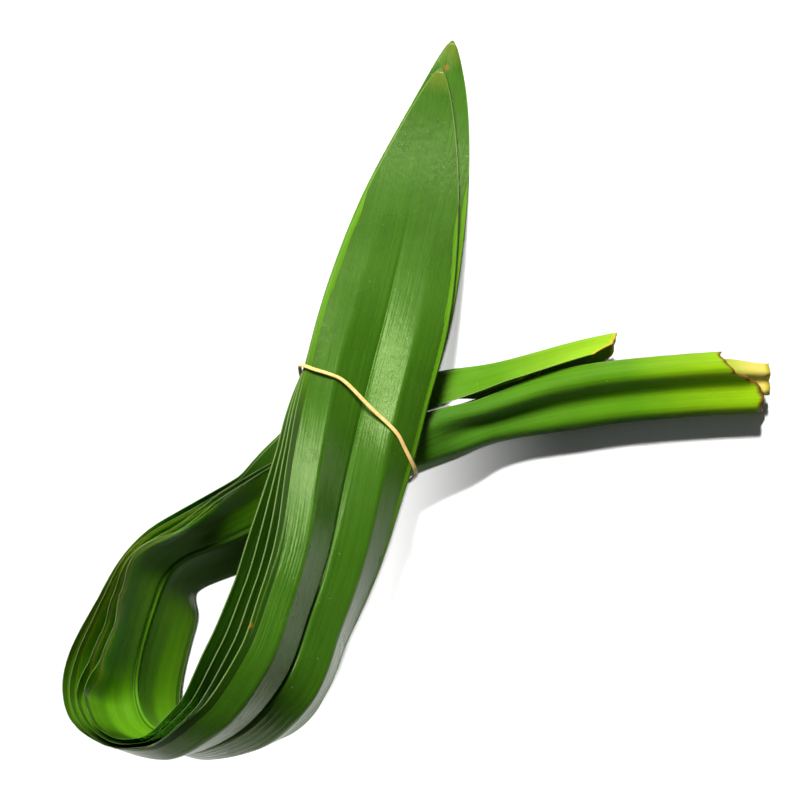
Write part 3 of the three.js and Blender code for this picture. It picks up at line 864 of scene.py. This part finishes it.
class PANDAN_OT_leaves(bpy.types.Operator):
    """Make the four leaves, from the outermost to the innermost"""
    bl_idname = "pandan.leaves"
    bl_label = "Make Leaves"

    def execute(self, context):
        settings = context.scene.pandan_settings
        tree = relief_tree()
        # The upper skin has the IOR of plant wax. The lower one's is less, because its fine pores
        # scatter most of what it would mirror.
        upper_skin = waxy_leaf(settings, "waxy upper skin of a pandan leaf", 1.47, 0.22)
        lower_skin = waxy_leaf(settings, "dull lower skin of a pandan leaf", 1.25, 0.36)
        for leaf in LEAVES:
            blade = blade_mesh(leaf, settings.blade_thickness / MM, settings.margin_thickness / MM,
                               settings.base_thickness / MM)
            mesh = grown(blade, tree, {
                "Keel Height": settings.keel_height, "Keel Width": settings.keel_width,
                "Rib Height": settings.rib_height, "Bend Rib Height": settings.bend_rib_height,
                "Rib Spacing": settings.rib_spacing, "Upper Skin": upper_skin,
                "Lower Skin": lower_skin})
            kept_piece(mesh, leaf["name"], leaf["node"])
        return {"FINISHED"}


class PANDAN_OT_band(bpy.types.Operator):
    """Make the rubber band round the crossing"""
    bl_idname = "pandan.band"
    bl_label = "Make Rubber Band"

    def execute(self, context):
        settings = context.scene.pandan_settings
        loop = np.array(BAND_LOOP, float)
        points = np.array([through(loop, k * len(loop) / BAND_STEPS, closed=True)
                           for k in range(BAND_STEPS)])
        tangents = np.roll(points, -1, 0) - np.roll(points, 1, 0)
        away = points - points.mean(0)
        across = np.cross(tangents, away)
        away = np.cross(across, tangents)
        away /= np.linalg.norm(away, axis=1)[:, None]
        path = bpy.data.meshes.new("band path")
        edges = [(k, (k + 1) % BAND_STEPS) for k in range(BAND_STEPS)]
        path.from_pydata(((points - MIDDLE) * MM).tolist(), edges, [])
        layer = path.attributes.new("away", "FLOAT_VECTOR", "POINT")
        layer.data.foreach_set("vector", away.astype(np.float32).ravel())
        mesh = grown(path, band_tree(), {
            "Band Width": settings.band_width, "Band Thickness": settings.band_thickness,
            "Rubber": natural_rubber(settings)})
        kept_piece(mesh, "rubber_band_loop", "rubber_band")
        return {"FINISHED"}


class PANDAN_OT_stage(bpy.types.Operator):
    """Make the floor, the soft lights and the camera"""
    bl_idname = "pandan.stage"
    bl_label = "Make Stage"

    def execute(self, context):
        settings = context.scene.pandan_settings
        mesh = bpy.data.meshes.new("background_paper")
        corners = [(x * PAPER_REACH, y * PAPER_REACH, 0) for x, y in ((-1, -1), (1, -1), (1, 1), (-1, 1))]
        mesh.from_pydata(corners, [], [(0, 1, 2, 3)])
        mesh.materials.append(white_paper(settings))
        floor = bpy.data.objects.new("background_paper", mesh)
        context.scene.collection.objects.link(floor)
        # The paper throws no light back onto the leaves, whose shaded sides are nearly black
        floor.visible_diffuse = False
        lit = {name: bpy.data.collections.new(name) for name in ("bunch", "ground")}
        lit["ground"].objects.link(floor)
        for piece in list(context.scene.objects):
            if piece.type == "MESH" and piece != floor:
                lit["bunch"].objects.link(piece)
        for name, place, aim, size, spread, power, rays, receiver in LAMPS:
            light = bpy.data.lights.new(name, "AREA")
            light.shape = "RECTANGLE"
            light.size, light.size_y = size
            light.spread = math.radians(spread)
            light.energy = getattr(settings, power)
            light.color = SHEEN_TINT if rays == "glossy" else WHITE
            lamp = bpy.data.objects.new(name, light)
            lamp.location = place
            lamp.rotation_euler = (Vector(aim) - Vector(place)).to_track_quat("-Z", "Y").to_euler()
            lamp.visible_diffuse = rays != "glossy"
            lamp.visible_glossy = rays != "diffuse"
            lamp.light_linking.receiver_collection = lit[receiver]
            context.scene.collection.objects.link(lamp)
        world = bpy.data.worlds.new("dim studio")
        world.use_nodes = True
        sky = world.node_tree.nodes["Background"].inputs
        sky["Color"].default_value = SKY_COLOUR
        sky["Strength"].default_value = SKY_STRENGTH
        context.scene.world = world
        context.scene.view_settings.view_transform = "Standard"
        camera = bpy.data.cameras.new("camera")
        camera.sensor_width = CAMERA_SENSOR
        camera.lens = CAMERA_LENS
        camera.clip_end = CAMERA_REACH
        eye = bpy.data.objects.new("camera", camera)
        eye.location = CAMERA_PLACE
        way = Vector(CAMERA_AIM) - Vector(CAMERA_PLACE)
        eye.rotation_euler = way.to_track_quat("-Z", "Y").to_euler()
        context.scene.collection.objects.link(eye)
        context.scene.camera = eye
        return {"FINISHED"}


class PANDAN_PT_panel(bpy.types.Panel):
    """The bunch's settings and what makes it"""
    bl_label = "Pandan Leaf Bunch"
    bl_idname = "PANDAN_PT_panel"
    bl_space_type = "VIEW_3D"
    bl_region_type = "UI"
    bl_category = "Pandan"

    def draw(self, context):
        for name in PandanSettings.__annotations__:
            self.layout.prop(context.scene.pandan_settings, name)
        for maker in (PANDAN_OT_leaves, PANDAN_OT_band, PANDAN_OT_stage):
            self.layout.operator(maker.bl_idname)


CLASSES = (PandanSettings, PANDAN_OT_leaves, PANDAN_OT_band, PANDAN_OT_stage, PANDAN_PT_panel)


def register():
    for kind in CLASSES:
        bpy.utils.register_class(kind)
    bpy.types.Scene.pandan_settings = bpy.props.PointerProperty(type=PandanSettings)


def unregister():
    del bpy.types.Scene.pandan_settings
    for kind in reversed(CLASSES):
        bpy.utils.unregister_class(kind)


def main():
    register()
    bpy.ops.pandan.leaves()
    bpy.ops.pandan.band()
    bpy.ops.pandan.stage()


if __name__ == "__main__":
    main()
